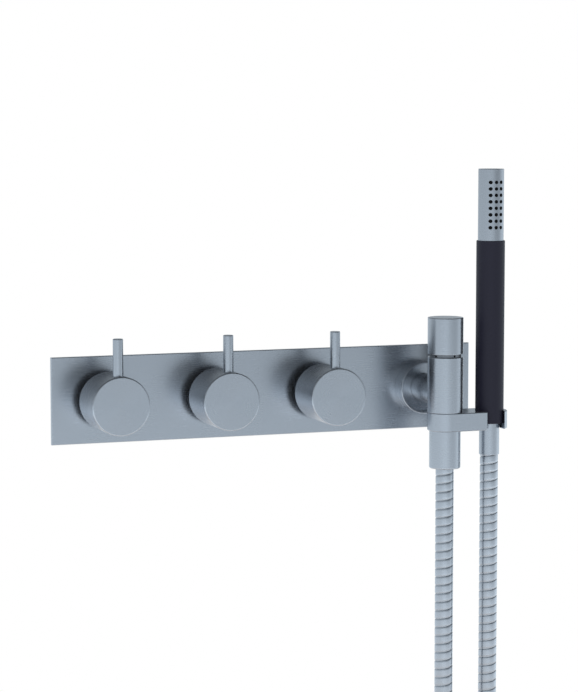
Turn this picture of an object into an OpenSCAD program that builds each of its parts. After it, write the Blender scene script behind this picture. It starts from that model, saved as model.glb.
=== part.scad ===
// Concealed bath mixer: hot and cold quarter-turn valves, a diverter and a hand-shower outlet
// behind one cover plate, with a swivelling holder, a stick handset and its metal hose.
// Millimetres. +Z is up, +Y goes into the wall, and the finished wall's face is y = 0.
// The origin is the centre of the cover plate's wall side.

/* [Cover plate] */
// Width of the plate
plate_w = 310; // [304:1:340]
// Height of the plate
plate_h = 60; // [56:1:80]
// Thickness of the plate
plate_t = 3; // [2:0.5:5]
// Bevel along the plate's front edges
plate_bevel = 0.4; // [0.2:0.1:1]
// From the plate's left edge to the hot valve's axis
first_x = 37; // [34:1:42]
// From the plate's right edge to the hand-shower outlet's axis
last_x = 39; // [34:1:45]

/* [Knobs] */
// Diameter of a knob
knob_d = 40; // [36:1:46]
// Length of a knob, from its face to its rear
knob_l = 34; // [30:1:44]
// Free space between the plate and a knob
knob_gap = 9; // [8:0.5:14]
// Bevel round a knob's face
knob_bevel = 0.7; // [0.3:0.1:1.5]
// Diameter of a lever pin
lever_d = 7; // [6:0.5:9]
// Height of a lever pin above its knob's rim
lever_rise = 25; // [15:1:40]
// From a knob's face back to its lever's axis
lever_back = 8; // [7:0.5:12]

/* [Valves] */
// Diameter of a valve spindle
spindle_d = 8; // [7:0.5:9]
// Diameter of the collar that clamps the plate
collar_d = 30; // [28:1:34]
// Length of the collar in front of the plate
collar_l = 6; // [4:0.5:7]
// Diameter of a bonnet, the threaded sleeve through the plate
bonnet_d = 24; // [22:0.5:25]
// Diameter of a cartridge where it seats in the body
cartridge_d = 18; // [17:0.5:20]
// Diameter of a port through the discs
disc_port_d = 4.4; // [3:0.2:5]

/* [Concealed body] */
// Depth from the wall's face to the body's rear
body_depth = 58; // [56:1:75]
// From the wall's face to the body's front
body_front = 6; // [4:0.5:10]
// Diameter of a valve boss
boss_d = 34; // [32:1:40]
// Diameter of a water gallery, outside
gallery_d = 16; // [14:1:20]
// Diameter of a water gallery, inside
gallery_bore = 8; // [6:0.5:10]
// From the valve axes down to the ports' mouths
port_drop = 33; // [31:1:45]
// Outside diameter of a port's boss
port_d = 28; // [26:0.5:32]
// Height of the mounting bracket
bracket_h = 40; // [38:1:60]
// Thickness of the mounting bracket
bracket_t = 3; // [2:0.5:5]

/* [Outlet column] */
// Diameter of the column
column_d = 25; // [24:0.5:32]
// From the wall's face to the column's axis
column_reach = 50; // [46:1:70]
// From the neck's axis down to the column's seam
column_low = 13; // [12:0.5:20]
// From the neck's axis up to the air ring
column_high = 25.8; // [24:0.2:40]
// Height of the recessed air ring
air_ring_h = 2.2; // [1.6:0.2:4]
// Height of the column's cap
cap_h = 25.5; // [20:0.5:40]
// Diameter of the neck
neck_d = 20; // [18:0.5:21]
// Diameter of the rosette
rosette_d = 37; // [32:1:45]
// Length of the rosette
rosette_l = 12; // [8:0.5:20]
// Diameter of the outlet sleeve
sleeve_d = 22; // [21:0.5:24]
// Length of the outlet sleeve
sleeve_l = 26.7; // [24:0.1:36]

/* [Holder] */
// Height of the holder arm
arm_h = 12.8; // [11:0.2:20]
// From the column's axis to the handset's axis
arm_reach = 34; // [30:1:50]
// Depth of the handset's seat in the arm
seat_depth = 9; // [6:0.5:9]
// Width of the slot that lets the hose in
slot_w = 14.4; // [13.4:0.2:16]

/* [Hose] */
// Outside diameter of the hose
hose_d = 12.8; // [11:0.2:13]
// Bore of the hose
hose_bore = 8; // [7:0.5:9]
// Distance between the hose's ribs
rib_pitch = 6; // [6:0.5:10]
// Depth of the groove between two ribs
rib_depth = 0.5; // [0.2:0.1:1]
// Wall of the swivelling ferrule under the handset, round the hose
ferrule_wall = 0.7; // [0.5:0.1:1]
// Length of the ferrule below the handset
ferrule_l = 22.5; // [16:0.5:30]

/* [Handset] */
// Wall of the soft grip, round the handset's tube
grip_wall = 1; // [0.8:0.1:2]
// Length of the soft grip
grip_l = 128.5; // [100:0.5:160]
// Diameter of the handset's metal tube
tube_d = 18; // [16:0.2:19]
// Length of bare tube above the grip
head_l = 50; // [50:1:80]
// Rows of spray nozzles
nozzle_rows = 8; // [4:1:8]
// Columns of spray nozzles
nozzle_columns = 3; // [1:1:3]
// Diameter of a nozzle's hole
nozzle_d = 2.4; // [1.6:0.1:3]

/* [Hidden] */
$fn = 64;

// Clearances, all on the radius, and the overrun of a cut
fit = 0.05;
run = 0.05;
cut = 1;

// Finishes, as the photograph shows them
steel = [0.56, 0.60, 0.66];
brass = [0.78, 0.65, 0.38];
black_rubber = [0.10, 0.10, 0.12];
grip_black = [0.17, 0.17, 0.21];
ceramic = [0.93, 0.92, 0.88];
white_plastic = [0.88, 0.88, 0.86];
zinc = [0.62, 0.63, 0.64];

// The four positions on the plate, evenly spaced
positions = 4;
pitch = (plate_w - first_x - last_x) / (positions - 1);
hot_x = -plate_w / 2 + first_x;
cold_x = hot_x + pitch;
diverter_x = cold_x + pitch;
column_x = diverter_x + pitch;
VALVES = [hot_x, cold_x, diverter_x];
HOT = 0;
COLD = 1;
DIVERTER = 2;

// Section diameters of the rubber rings
o_ring_t = 1.2;
o_ring_small_t = 0.8;

// Stations of a knob and its lever, measured into the wall
knob_rear_y = -(plate_t + knob_gap);
knob_face_y = knob_rear_y - knob_l;
knob_wall = 4;
lever_y = knob_face_y + lever_back;
lever_seat = 3;
lever_bevel = 0.5;
stud_d = 5;
flat_depth = 1;
knob_relief = 3;
knob_rim = 3;

// Stations of a valve, from the collar back to the discs
collar_front_y = -(plate_t + collar_l);
collar_bevel = 0.5;
mouth_l = 10;
bonnet_rear_y = body_front + mouth_l;
bonnet_lip = 3;
nose_front_y = collar_front_y + bonnet_lip;
nose_wall = 0.8;
nose_d = spindle_d + 2 * o_ring_t + 2 * nose_wall;
cartridge_land = 3.5;
cartridge_skirt = 6.5;
waist_l = 8;
waist_depth = 1.2;
cartridge_rear_y = bonnet_rear_y + cartridge_land + waist_l + cartridge_skirt;
chamber_wall = 2;
chamber_d = cartridge_d - 2 * chamber_wall;
chamber_roof = 2;
chamber_front_y = bonnet_rear_y + chamber_roof;
window_y = bonnet_rear_y + cartridge_land + waist_l / 2;
window_d = 5;
disc_clear = 0.1;
disc_d = chamber_d - 2 * disc_clear;
disc_t = 3;
disc_rim = 0.25;
tang_w = 3;
tang_l = 10;
tang_h = 1.5;
flange_t = 1.8;
seal_t = 2;
seal_nose_t = 0.8;
fixed_disc_y = cartridge_rear_y - seal_nose_t - disc_t;
turning_disc_y = fixed_disc_y - disc_t;
pocket_floor_y = cartridge_rear_y + seal_t;
disc_port_r = disc_d / 2 - disc_port_d / 2 - disc_rim;

// The concealed body, with half-inch pipe threads for its ports and for the neck
port_set_in = 1;
port_y = body_depth - port_set_in - port_d / 2;
thread_d = 20.955;
thread_l = 14;
port_web = 1.2;
plenum_d = 13;
outlet_floor = 8;
outlet_bore = 14;
outlet_thread_l = 18;

// The bracket and its screws
screw_d = 5;
screw_head_d = 10;
screw_head_t = 2.5;
screw_grip = 6;
screw_tip_gap = 1;
screw_socket = 1.5;
screw_socket_d = 3.4;
screw_offset = 11;
wall_slot_w = 6;
wall_slot_l = 12;
wall_slot_inset = 6;

// The plate's holes and its seal
hole_clear = 0.4;
seal_inset = 6;
seal_w = 4;
seal_groove = 1.2;

// The neck and its rosette
rosette_recess = 3;
rosette_rim = 1.4;
rosette_bevel = 0.5;
neck_bore = 10;
neck_spigot_d = 14;
neck_spigot_l = 5;
neck_rear_gap = 2;
neck_rear_y = body_front + outlet_thread_l - neck_rear_gap;

// The column's stations, from the neck's axis
seam_z = -column_low;
arm_low_z = seam_z - arm_h;
sleeve_low_z = arm_low_z - sleeve_l;
air_ring_z = column_high;
cap_low_z = air_ring_z + air_ring_h;
column_top_z = cap_low_z + cap_h;
column_bevel = 0.5;
main_bore = 14;
main_bore_high = 12;
main_bore_floor = 3;
main_bore_low = seam_z + main_bore_floor;
upper_bore = 18;
spigot_d = 18;
spigot_l = 11.2;
spigot_low_z = arm_low_z - spigot_l;
ring_set_in = 1.5;
ring_d = column_d - 2 * ring_set_in;
ring_spigot_low = 7.8;
ring_spigot_high = 8;
ring_bore = 12;
ring_floor = 2;
air_holes = 5;
air_hole_d = 1.6;
air_turn = 12;
cap_chamber_d = 16;
cap_roof = 4;

// The vacuum breaker's float
float_d = 15.6;
float_t = 2.5;
float_nose_d = 6;
float_nose_l = 3;
float_notch_w = 3;
float_notch_depth = 1.5;
float_seat_d = 8;

// The check valve, in the column's spigot
check_d = 13;
check_web = 4;
check_top_z = seam_z - check_web;
check_low_z = spigot_low_z;
check_wall = 1.3;
check_seat_t = 1.6;
check_seat_d = 7;
check_floor_t = 3;
poppet_d = 9;
poppet_t = 2;
poppet_stem_d = 2.5;
spring_wire = 0.7;
spring_turns = 5;
spring_mid_d = 6;
spring_sides = 6;
spring_steps = 8;
flow_hole_d = 2.6;

// The outlet sleeve and the hose's fixed end
sleeve_web = 2;
sleeve_web_gap = 0.5;
sleeve_hole_d = 12;
sleeve_bevel = 0.8;
tail_d = 16;
tail_set_in = 0.5;
tail_roof = 3;
washer_t = 1.5;
washer_bore = 10;
sleeve_web_z = spigot_low_z - sleeve_web_gap - sleeve_web;
tail_top_z = sleeve_web_z - washer_t;
tail_low_z = sleeve_low_z + tail_set_in;

// The holder arm
arm_bevel = 0.5;
swivel_washer_t = 0.8;
swivel_washer_w = 1.5;
swivel_washer_d = spigot_d + 2 * swivel_washer_w;
seat_clear = 0.2;
floor_hole_clear = 0.4;
seat_z = seam_z - seat_depth;

// The handset's stations
handset_x = column_x + arm_reach;
grip_top_z = seat_z + grip_l;
handset_top_z = grip_top_z + head_l;
grip_d = tube_d + 2 * grip_wall;
tube_wall = 1.5;
tube_bore = tube_d - 2 * tube_wall;
plug_d = tube_bore - 2 * fit;
connector_wall = 2.4;
connector_lip = 1;
connector_flange_t = 2;
connector_l = 14;
connector_roof = 2;
connector_top_z = seat_z + connector_flange_t + connector_l;
ferrule_d = hose_d + 2 * ferrule_wall;
ferrule_spigot_d = plug_d - 2 * connector_wall - 2 * run;
ferrule_spigot_l = 12;
ferrule_spigot_wall = 2;
ferrule_bore = ferrule_spigot_d - 2 * ferrule_spigot_wall;
ferrule_socket = 6.5;
ferrule_low_z = seat_z - ferrule_l;
grip_bevel = 0.4;
cap_flange_t = 1;
cap_bevel = 0.3;
cap_plug_l = 4;
filter_t = 1.5;
filter_hole_d = 3;
nozzle_row_pitch = 4.5;
nozzle_column_pitch = 4;
nozzle_mid_z = grip_top_z + head_l / 2;
nozzle_shell_t = 1.4;
nozzle_margin = 3.5;
nozzle_recess = 0.3;
nozzle_clear = 0.1;
nozzle_bore = 1;
nozzle_root = 2.8;
nozzle_back_y = -3;

// The hose's route: it hangs in one loop from the column's outlet to the handset's ferrule.
// The two runs meet at the loop's lowest point, whose place in the list is LOW_POINT.
ROUTE = [
  [116, -50, -44], [116, -50, -80], [116, -50, -130], [116, -50, -180], [116, -50, -230],
  [115, -50, -270], [111, -50, -310], [105, -50, -350], [98, -50, -390], [90, -50, -430],
  [83, -50, -470], [78, -50, -510], [77, -50, -550], [84, -50, -584], [104, -50, -609],
  [133, -50, -618],
  [162, -50, -609], [182, -50, -584], [189, -50, -550], [188, -50, -510], [183, -50, -470],
  [176, -50, -430], [168, -50, -390], [161, -50, -350], [155, -50, -310], [151, -50, -270],
  [150, -50, -230], [150, -50, -180], [150, -50, -130], [150, -50, -80], [150, -50, -38],
];
LOW_POINT = 15;
hose_sides = 8;
curve_steps = 8;
bore_step = 16;

// Places its children on a valve's axis, with their own Z going into the wall
module on_valve(i)
{
  translate([VALVES[i], 0, 0]) rotate([-90, 0, 0]) children();
}

// Places its children on the hand-shower outlet's axis, with their own Z going into the wall
module on_outlet()
{
  translate([column_x, 0, 0]) rotate([-90, 0, 0]) children();
}

// Places its children on the column's upright axis
module on_column()
{
  translate([column_x, -column_reach, 0]) children();
}

// Places its children on the handset's upright axis
module on_handset()
{
  translate([handset_x, -column_reach, 0]) children();
}

// A plain cylinder between two stations
module rod(d, from, to)
{
  translate([0, 0, from]) cylinder(d = d, h = to - from);
}

// A hole right through between two stations, run past both
module drill(d, from, to)
{
  rod(d, from - cut, to + cut);
}

// A blind hole, run past its mouth
module pocket(d, floor, mouth)
{
  if (mouth > floor) rod(d, floor, mouth + cut);
  else rod(d, mouth - cut, floor);
}

// A ring or sleeve between two stations
module sleeve(d, bore, from, to)
{
  difference() {
    rod(d, from, to);
    drill(bore, from, to);
  }
}

// A turned cylinder with its own bevel at each end
module turned(d, from, to, bevel_from = 0, bevel_to = 0)
{
  r = d / 2;
  rotate_extrude() polygon([
    [0, from], [r - bevel_from, from], [r, from + bevel_from],
    [r, to - bevel_to], [r - bevel_to, to], [0, to],
  ]);
}

// A rubber ring of round section that fills the space from inner_d to inner_d plus two sections
module o_ring(inner_d, section, z)
{
  translate([0, 0, z]) rotate_extrude()
    translate([inner_d / 2 + section / 2, 0]) circle(d = section, $fn = 24);
}

// Round holes through the discs at given angles from the top, turning to the right
module disc_ports(angles, from, to)
{
  for (a = angles)
    translate([disc_port_r * sin(a), -disc_port_r * cos(a), 0]) drill(disc_port_d, from, to);
}

// Angles of the ports in a fixed disc: a pair for a valve, and one for each outlet in the diverter
function fixed_ports(i) = i == DIVERTER ? [90, 180] : [0, 180];

// Angles of the ports in a turning disc: across a valve's pair while it is shut
function turning_ports(i) = i == DIVERTER ? [90] : [90, 270];

// Cover plate with bevelled front edges, a hole for each bonnet and the neck, and its seal's groove
module cover_plate()
{
  side = [
    [0, -plate_h / 2], [-plate_t + plate_bevel, -plate_h / 2], [-plate_t, -plate_h / 2 + plate_bevel],
    [-plate_t, plate_h / 2 - plate_bevel], [-plate_t + plate_bevel, plate_h / 2], [0, plate_h / 2],
  ];
  top = [
    [-plate_w / 2, 0], [-plate_w / 2, -plate_t + plate_bevel], [-plate_w / 2 + plate_bevel, -plate_t],
    [plate_w / 2 - plate_bevel, -plate_t], [plate_w / 2, -plate_t + plate_bevel], [plate_w / 2, 0],
  ];
  color(steel) difference() {
    intersection() {
      translate([-plate_w / 2 - cut, 0, 0]) rotate([90, 0, 90])
        linear_extrude(plate_w + 2 * cut) polygon(side);
      translate([0, 0, -plate_h / 2 - cut]) linear_extrude(plate_h + 2 * cut) polygon(top);
    }
    for (i = [HOT, COLD, DIVERTER]) on_valve(i) drill(bonnet_d + 2 * hole_clear, -plate_t, 0);
    on_outlet() drill(thread_d + 2 * hole_clear, -plate_t, 0);
    seal_frame(seal_w + 2 * fit, cut, seal_inset - fit);
  }
}

// A flat rectangular frame, sunk into the plate's wall side
module seal_frame(w, proud, inset)
{
  outer_w = plate_w - 2 * inset;
  outer_h = plate_h - 2 * inset;
  translate([0, proud, 0]) rotate([90, 0, 0]) linear_extrude(seal_groove + proud) difference() {
    square([outer_w, outer_h], center = true);
    square([outer_w - 2 * w, outer_h - 2 * w], center = true);
  }
}

// Foam seal that lies in the plate's groove and meets the tiles
module plate_seal()
{
  color(black_rubber) seal_frame(seal_w, 0, seal_inset);
}

// A port's boss below a valve
module port_boss(i)
{
  translate([VALVES[i], port_y, 0]) rod(port_d, -port_drop, 0);
}

// The thread in a port's boss, and the feed above it
module port_bore(i, feed_top)
{
  translate([VALVES[i], port_y, 0]) {
    pocket(thread_d, thread_l - port_drop, -port_drop);
    pocket(gallery_bore, feed_top, -port_drop);
  }
}

// A gallery's tube or its bore, between two places at one depth
module gallery(d, from_x, to_x, y)
{
  translate([from_x, y, 0]) rotate([0, 90, 0]) cylinder(d = d, h = to_x - from_x);
}

// Cast body in the wall: a boss for each valve and the outlet, galleries between them, three ports
module concealed_body()
{
  color(brass) difference() {
    union() {
      for (i = [HOT, COLD, DIVERTER]) {
        on_valve(i) rod(boss_d, body_front, body_depth);
        port_boss(i);
      }
      on_outlet() rod(boss_d, body_front, body_depth);
      gallery(gallery_d, hot_x, diverter_x, window_y);
      gallery(gallery_d, diverter_x, column_x, port_y);
    }
    for (i = [HOT, COLD, DIVERTER]) on_valve(i) {
      pocket(bonnet_d + 2 * fit, bonnet_rear_y, body_front);
      pocket(cartridge_d + 2 * fit, pocket_floor_y, body_front);
    }
    for (i = [HOT, COLD]) {
      on_valve(i) pocket(plenum_d, port_y, body_front);
      port_bore(i, 0);
    }
    on_valve(DIVERTER) disc_ports(fixed_ports(DIVERTER), pocket_floor_y, port_y);
    port_bore(DIVERTER, -disc_port_d / 2 - port_web);
    gallery(gallery_bore, hot_x, diverter_x, window_y);
    gallery(gallery_bore, diverter_x + disc_port_r + port_web / 2, column_x, port_y);
    on_outlet() {
      pocket(thread_d, body_front + outlet_thread_l, body_front);
      pocket(outlet_bore, body_depth - outlet_floor, body_front);
    }
    bracket_screw_places() pocket(screw_d + 2 * fit, body_depth - screw_grip, body_depth);
  }
}

// Puts its children on the axes of the four screws between bracket and body
module bracket_screw_places()
{
  for (x = [hot_x, column_x], side = [-1, 1])
    translate([x + side * screw_offset, 0, 0]) rotate([-90, 0, 0]) children();
}

// One of the bracket's slots for the wall's screws
module wall_slot()
{
  low = body_depth - cut;
  thick = bracket_t + 2 * cut;
  half = (wall_slot_l - wall_slot_w) / 2;
  for (x = [-half, half]) translate([x, 0, 0]) rotate([-90, 0, 0]) rod(wall_slot_w, low, low + thick);
  translate([-half, low, -wall_slot_w / 2]) cube([2 * half, thick, wall_slot_w]);
}

// Steel bracket behind the body, with a slot near each corner
module mounting_bracket()
{
  rear = body_depth + bracket_t;
  centre_x = (hot_x + column_x) / 2;
  slot_z = bracket_h / 2 - wall_slot_inset;
  color(zinc) difference() {
    translate([hot_x - boss_d / 2, body_depth, -bracket_h / 2])
      cube([column_x - hot_x + boss_d, bracket_t, bracket_h]);
    for (x = [centre_x - pitch, centre_x + pitch], z = [-slot_z, slot_z])
      translate([x, 0, z]) wall_slot();
    bracket_screw_places() {
      drill(screw_d + 2 * fit, body_depth, rear);
      translate([0, 0, rear - screw_head_t])
        cylinder(d1 = screw_d + 2 * fit, d2 = screw_head_d + 2 * fit, h = screw_head_t);
    }
  }
}

// Countersunk screws from behind the bracket into the body, each with a hexagon socket
module bracket_screws()
{
  rear = body_depth + bracket_t;
  color(zinc) bracket_screw_places() difference() {
    union() {
      rod(screw_d, body_depth - screw_grip + screw_tip_gap, rear - screw_head_t);
      translate([0, 0, rear - screw_head_t])
        cylinder(d1 = screw_d, d2 = screw_head_d, h = screw_head_t);
    }
    translate([0, 0, rear - screw_socket]) cylinder(d = screw_socket_d, h = screw_socket + cut, $fn = 6);
  }
}

// Round collar that screws onto the bonnet and clamps the plate
module collar(i)
{
  color(steel) on_valve(i) difference() {
    turned(collar_d, collar_front_y, -plate_t, collar_bevel, 0);
    drill(bonnet_d + 2 * fit, collar_front_y, -plate_t);
  }
}

// Threaded sleeve from the body's mouth through the plate, which holds the cartridge down
module bonnet(i)
{
  color(brass) on_valve(i) difference() {
    rod(bonnet_d, collar_front_y, bonnet_rear_y);
    drill(spindle_d + 2 * run, collar_front_y, bonnet_rear_y);
    pocket(nose_d + 2 * fit, nose_front_y, bonnet_rear_y);
  }
}

// Cartridge: a nose round the spindle, and a waisted cage for the discs with four windows
module cartridge(i)
{
  waist_from = bonnet_rear_y + cartridge_land;
  waist_to = waist_from + waist_l;
  groove_d = spindle_d + 2 * run + 2 * o_ring_t;
  color(brass) on_valve(i) difference() {
    union() {
      rod(nose_d, nose_front_y, bonnet_rear_y);
      rod(cartridge_d, bonnet_rear_y, waist_from);
      rod(cartridge_d - 2 * waist_depth, waist_from, waist_to);
      rod(cartridge_d, waist_to, cartridge_rear_y);
    }
    drill(spindle_d + 2 * run, nose_front_y, cartridge_rear_y);
    pocket(groove_d, nose_front_y + o_ring_t + 2 * fit, nose_front_y);
    pocket(chamber_d, chamber_front_y, cartridge_rear_y);
    for (a = [0, 90])
      translate([0, 0, window_y]) rotate([0, 90, a]) cylinder(d = window_d, h = cartridge_d, center = true);
  }
}

// Ceramic disc that is held by the cartridge
module fixed_disc(i)
{
  color(ceramic) on_valve(i) difference() {
    rod(disc_d, fixed_disc_y, fixed_disc_y + disc_t);
    disc_ports(fixed_ports(i), fixed_disc_y, fixed_disc_y + disc_t);
  }
}

// Ceramic disc with a groove across its front for the spindle's tang
module turning_disc(i)
{
  groove_w = tang_w + 2 * fit;
  groove_l = tang_l + 2 * fit;
  color(ceramic) on_valve(i) difference() {
    rod(disc_d, turning_disc_y, turning_disc_y + disc_t);
    disc_ports(turning_ports(i), turning_disc_y, turning_disc_y + disc_t);
    translate([-groove_w / 2, -groove_l / 2, turning_disc_y - cut])
      cube([groove_w, groove_l, tang_h + fit + cut]);
  }
}

// Spindle with a thrust flange, a tang at its rear and a flat under the lever's stud
module spindle(i)
{
  front_y = knob_face_y + knob_wall;
  flat_l = 2 * (lever_y - front_y);
  rear_y = turning_disc_y - disc_clear;
  color(brass) on_valve(i) difference() {
    union() {
      rod(spindle_d, front_y, rear_y);
      rod(chamber_d - 2 * run, chamber_front_y + disc_clear, chamber_front_y + disc_clear + flange_t);
      translate([-tang_w / 2, -tang_l / 2, rear_y - flange_t]) cube([tang_w, tang_l, flange_t + tang_h]);
    }
    translate([-spindle_d / 2, -spindle_d / 2 - cut, front_y - cut])
      cube([spindle_d, flat_depth + cut, flat_l + cut]);
  }
}

// The three rings that seal the spindles, each between a bonnet's lip and a cartridge's nose
module spindle_o_rings()
{
  color(black_rubber) for (i = [HOT, COLD, DIVERTER]) on_valve(i)
    o_ring(spindle_d + 2 * run, o_ring_t, nose_front_y + o_ring_t / 2 + fit);
}

// The three rubber seals between a fixed disc and its pocket's floor
module cartridge_seals()
{
  nose_from = cartridge_rear_y - seal_nose_t;
  color(black_rubber) for (i = [HOT, COLD, DIVERTER]) on_valve(i) difference() {
    union() {
      rod(cartridge_d, cartridge_rear_y, pocket_floor_y);
      rod(disc_d, nose_from, cartridge_rear_y);
    }
    disc_ports(fixed_ports(i), nose_from, pocket_floor_y);
  }
}

// Solid turned knob, drilled from the rear for its spindle and from the top for its lever
module knob(i)
{
  color(steel) difference() {
    on_valve(i) difference() {
      turned(knob_d, knob_face_y, knob_rear_y, knob_bevel, knob_bevel / 2);
      pocket(spindle_d + 2 * fit, knob_face_y + knob_wall, knob_rear_y);
      pocket(knob_d - 2 * knob_rim, knob_rear_y - knob_relief, knob_rear_y);
    }
    translate([VALVES[i], lever_y, 0]) {
      pocket(stud_d + 2 * fit, 0, knob_d / 2);
      pocket(lever_d + 2 * fit, knob_d / 2 - lever_seat, knob_d / 2);
    }
  }
}

// Lever pin whose stud screws down on the spindle's flat
module lever(i)
{
  shoulder_z = knob_d / 2 - lever_seat;
  color(steel) translate([VALVES[i], lever_y, 0]) {
    turned(lever_d, shoulder_z, knob_d / 2 + lever_rise, 0, lever_bevel);
    rod(stud_d, spindle_d / 2 - flat_depth, shoulder_z);
  }
}

// Cup-shaped rosette round the neck, its front recessed inside a thin rim
module outlet_rosette()
{
  front_y = -(plate_t + rosette_l);
  color(steel) on_outlet() difference() {
    turned(rosette_d, front_y, -plate_t, rosette_bevel, 0);
    drill(neck_d + 2 * fit, front_y, -plate_t);
    pocket(rosette_d - 2 * rosette_rim, front_y + rosette_recess, front_y);
    pocket(neck_d + 2 * fit + 2 * o_ring_t, -plate_t - o_ring_t - fit, -plate_t);
  }
}

// Rubber ring between the rosette and the neck, against the plate
module rosette_o_ring()
{
  color(black_rubber) on_outlet() o_ring(neck_d + 2 * fit, o_ring_t, -plate_t - o_ring_t / 2);
}

// Neck from the body to the column: a thread, a plain tube with a saddle end and a spigot
module neck_tube()
{
  spigot_y = -column_reach + column_d / 2 - neck_spigot_l;
  color(steel) difference() {
    union() {
      difference() {
        on_outlet() rod(neck_d, -column_reach, -plate_t);
        on_column() drill(column_d, -neck_d, neck_d);
      }
      on_outlet() rod(thread_d - 2 * fit, -plate_t, neck_rear_y);
      on_outlet() rod(neck_spigot_d, spigot_y, -plate_t);
    }
    on_outlet() drill(neck_bore, spigot_y, neck_rear_y);
  }
}

// Column body: a chamber for the neck, a wider one for the float, and a spigot under the seam
module column_body()
{
  color(steel) difference() {
    union() {
      on_column() rod(column_d, seam_z, air_ring_z);
      on_column() rod(spigot_d, spigot_low_z, seam_z);
    }
    on_column() {
      pocket(main_bore, main_bore_low, air_ring_z);
      pocket(upper_bore + 2 * fit, main_bore_high, air_ring_z);
      drill(neck_bore, spigot_low_z, main_bore_low);
      pocket(check_d + 2 * fit, check_top_z, spigot_low_z);
    }
    on_outlet() pocket(neck_spigot_d + 2 * fit, -column_reach, -column_reach + column_d / 2);
  }
}

// Recessed ring between body and cap that lets air in through six small holes
module air_ring()
{
  low = air_ring_z - ring_spigot_low;
  high = cap_low_z + ring_spigot_high;
  color(steel) on_column() difference() {
    union() {
      rod(upper_bore, low, high);
      rod(ring_d, air_ring_z, cap_low_z);
    }
    pocket(ring_bore, low + ring_floor, high);
    drill(float_seat_d, low, high);
    for (k = [0 : air_holes - 1])
      translate([0, 0, (air_ring_z + cap_low_z) / 2]) rotate([90, 0, air_turn + k * 360 / air_holes])
        cylinder(d = air_hole_d, h = column_d, $fn = 24);
  }
}

// Plain cap, hollow above the ring's spigot
module column_cap()
{
  color(steel) on_column() difference() {
    turned(column_d, cap_low_z, column_top_z, 0, column_bevel);
    pocket(upper_bore + 2 * fit, cap_low_z + ring_spigot_high + fit, cap_low_z);
    pocket(cap_chamber_d, column_top_z - cap_roof, cap_low_z);
  }
}

// Float that drops when the water stops, so that air can enter, and shuts the ring while it runs
module vacuum_float()
{
  top_z = main_bore_high + float_t;
  color(white_plastic) on_column() difference() {
    union() {
      rod(float_d, main_bore_high, top_z);
      rod(float_nose_d, top_z, top_z + float_nose_l);
    }
    for (k = [0 : 3])
      rotate([0, 0, k * 90])
        translate([main_bore / 2 - float_notch_depth, -float_notch_w / 2, main_bore_high - cut])
          cube([float_d, float_notch_w, float_t + 2 * cut]);
  }
}

// Cage of the check valve, with its seat at the top and a guide for the poppet's stem below
module check_valve_housing()
{
  guide_top_z = check_low_z + check_floor_t;
  seat_low_z = check_top_z - check_seat_t;
  guide_d = poppet_stem_d + 2 * run;
  chamber = check_d - 2 * check_wall;
  flow_r = (chamber + guide_d) / 4;
  color(white_plastic) on_column() difference() {
    rod(check_d, check_low_z, check_top_z);
    drill(check_seat_d, seat_low_z, check_top_z);
    rod(chamber, guide_top_z, seat_low_z);
    drill(guide_d, check_low_z, guide_top_z);
    for (k = [0 : 3])
      rotate([0, 0, 45 + k * 90]) translate([flow_r, 0, 0]) drill(flow_hole_d, check_low_z, guide_top_z);
  }
}

// Poppet that the spring holds up against the seat
module check_valve_poppet()
{
  top_z = check_top_z - check_seat_t;
  color(white_plastic) on_column() {
    rod(poppet_d, top_z - poppet_t, top_z);
    rod(poppet_stem_d, check_low_z + check_floor_t / 2, top_z - poppet_t);
  }
}

// Spring of round wire under the poppet: one helix, with a ring of points at each step
module check_valve_spring()
{
  low = check_low_z + check_floor_t + spring_wire / 2;
  high = check_top_z - check_seat_t - poppet_t - spring_wire / 2;
  steps = spring_steps * spring_turns;
  points = [
    for (k = [0 : steps], s = [0 : spring_sides - 1])
      let (
        turn = 360 * k / spring_steps,
        a = 360 * s / spring_sides,
        r = (spring_mid_d + spring_wire * cos(a)) / 2
      )
      [r * cos(turn), r * sin(turn), low + (high - low) * k / steps + spring_wire / 2 * sin(a)]
  ];
  color(zinc) on_column() polyhedron(points, tube_faces(steps + 1, spring_sides, 0, false));
}

// Sleeve that screws on the column's spigot, carries the arm and takes the hose's tail
module outlet_sleeve()
{
  color(steel) on_column() difference() {
    turned(sleeve_d, sleeve_low_z, arm_low_z, sleeve_bevel, 0);
    drill(sleeve_hole_d, sleeve_low_z, arm_low_z);
    pocket(spigot_d + 2 * fit, sleeve_web_z + sleeve_web, arm_low_z);
    pocket(tail_d + 2 * fit, sleeve_web_z, sleeve_low_z);
  }
}

// Holder arm: a ring round the spigot, a bar, and a seat with a slot to its front for the hose
module holder_arm()
{
  low = arm_low_z;
  high = seam_z;
  half = column_d / 2;
  bar = [
    [-half + arm_bevel, low], [half - arm_bevel, low], [half, low + arm_bevel],
    [half, high - arm_bevel], [half - arm_bevel, high], [-half + arm_bevel, high],
    [-half, high - arm_bevel], [-half, low + arm_bevel],
  ];
  color(steel) difference() {
    union() {
      on_column() turned(column_d, low, high, arm_bevel, arm_bevel);
      on_handset() turned(column_d, low, high, arm_bevel, arm_bevel);
      on_column() rotate([90, 0, 90]) linear_extrude(arm_reach) polygon(bar);
    }
    on_column() {
      drill(spigot_d + 2 * run, low, high);
      pocket(swivel_washer_d + 2 * fit, high - swivel_washer_t, high);
      pocket(swivel_washer_d + 2 * fit, low + swivel_washer_t, low);
    }
    on_handset() {
      pocket(grip_d + 2 * seat_clear, seat_z, high);
      drill(ferrule_d + 2 * floor_hole_clear, low, high);
      translate([-slot_w / 2, -column_d, low - cut]) cube([slot_w, column_d, arm_h + 2 * cut]);
    }
  }
}

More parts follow.
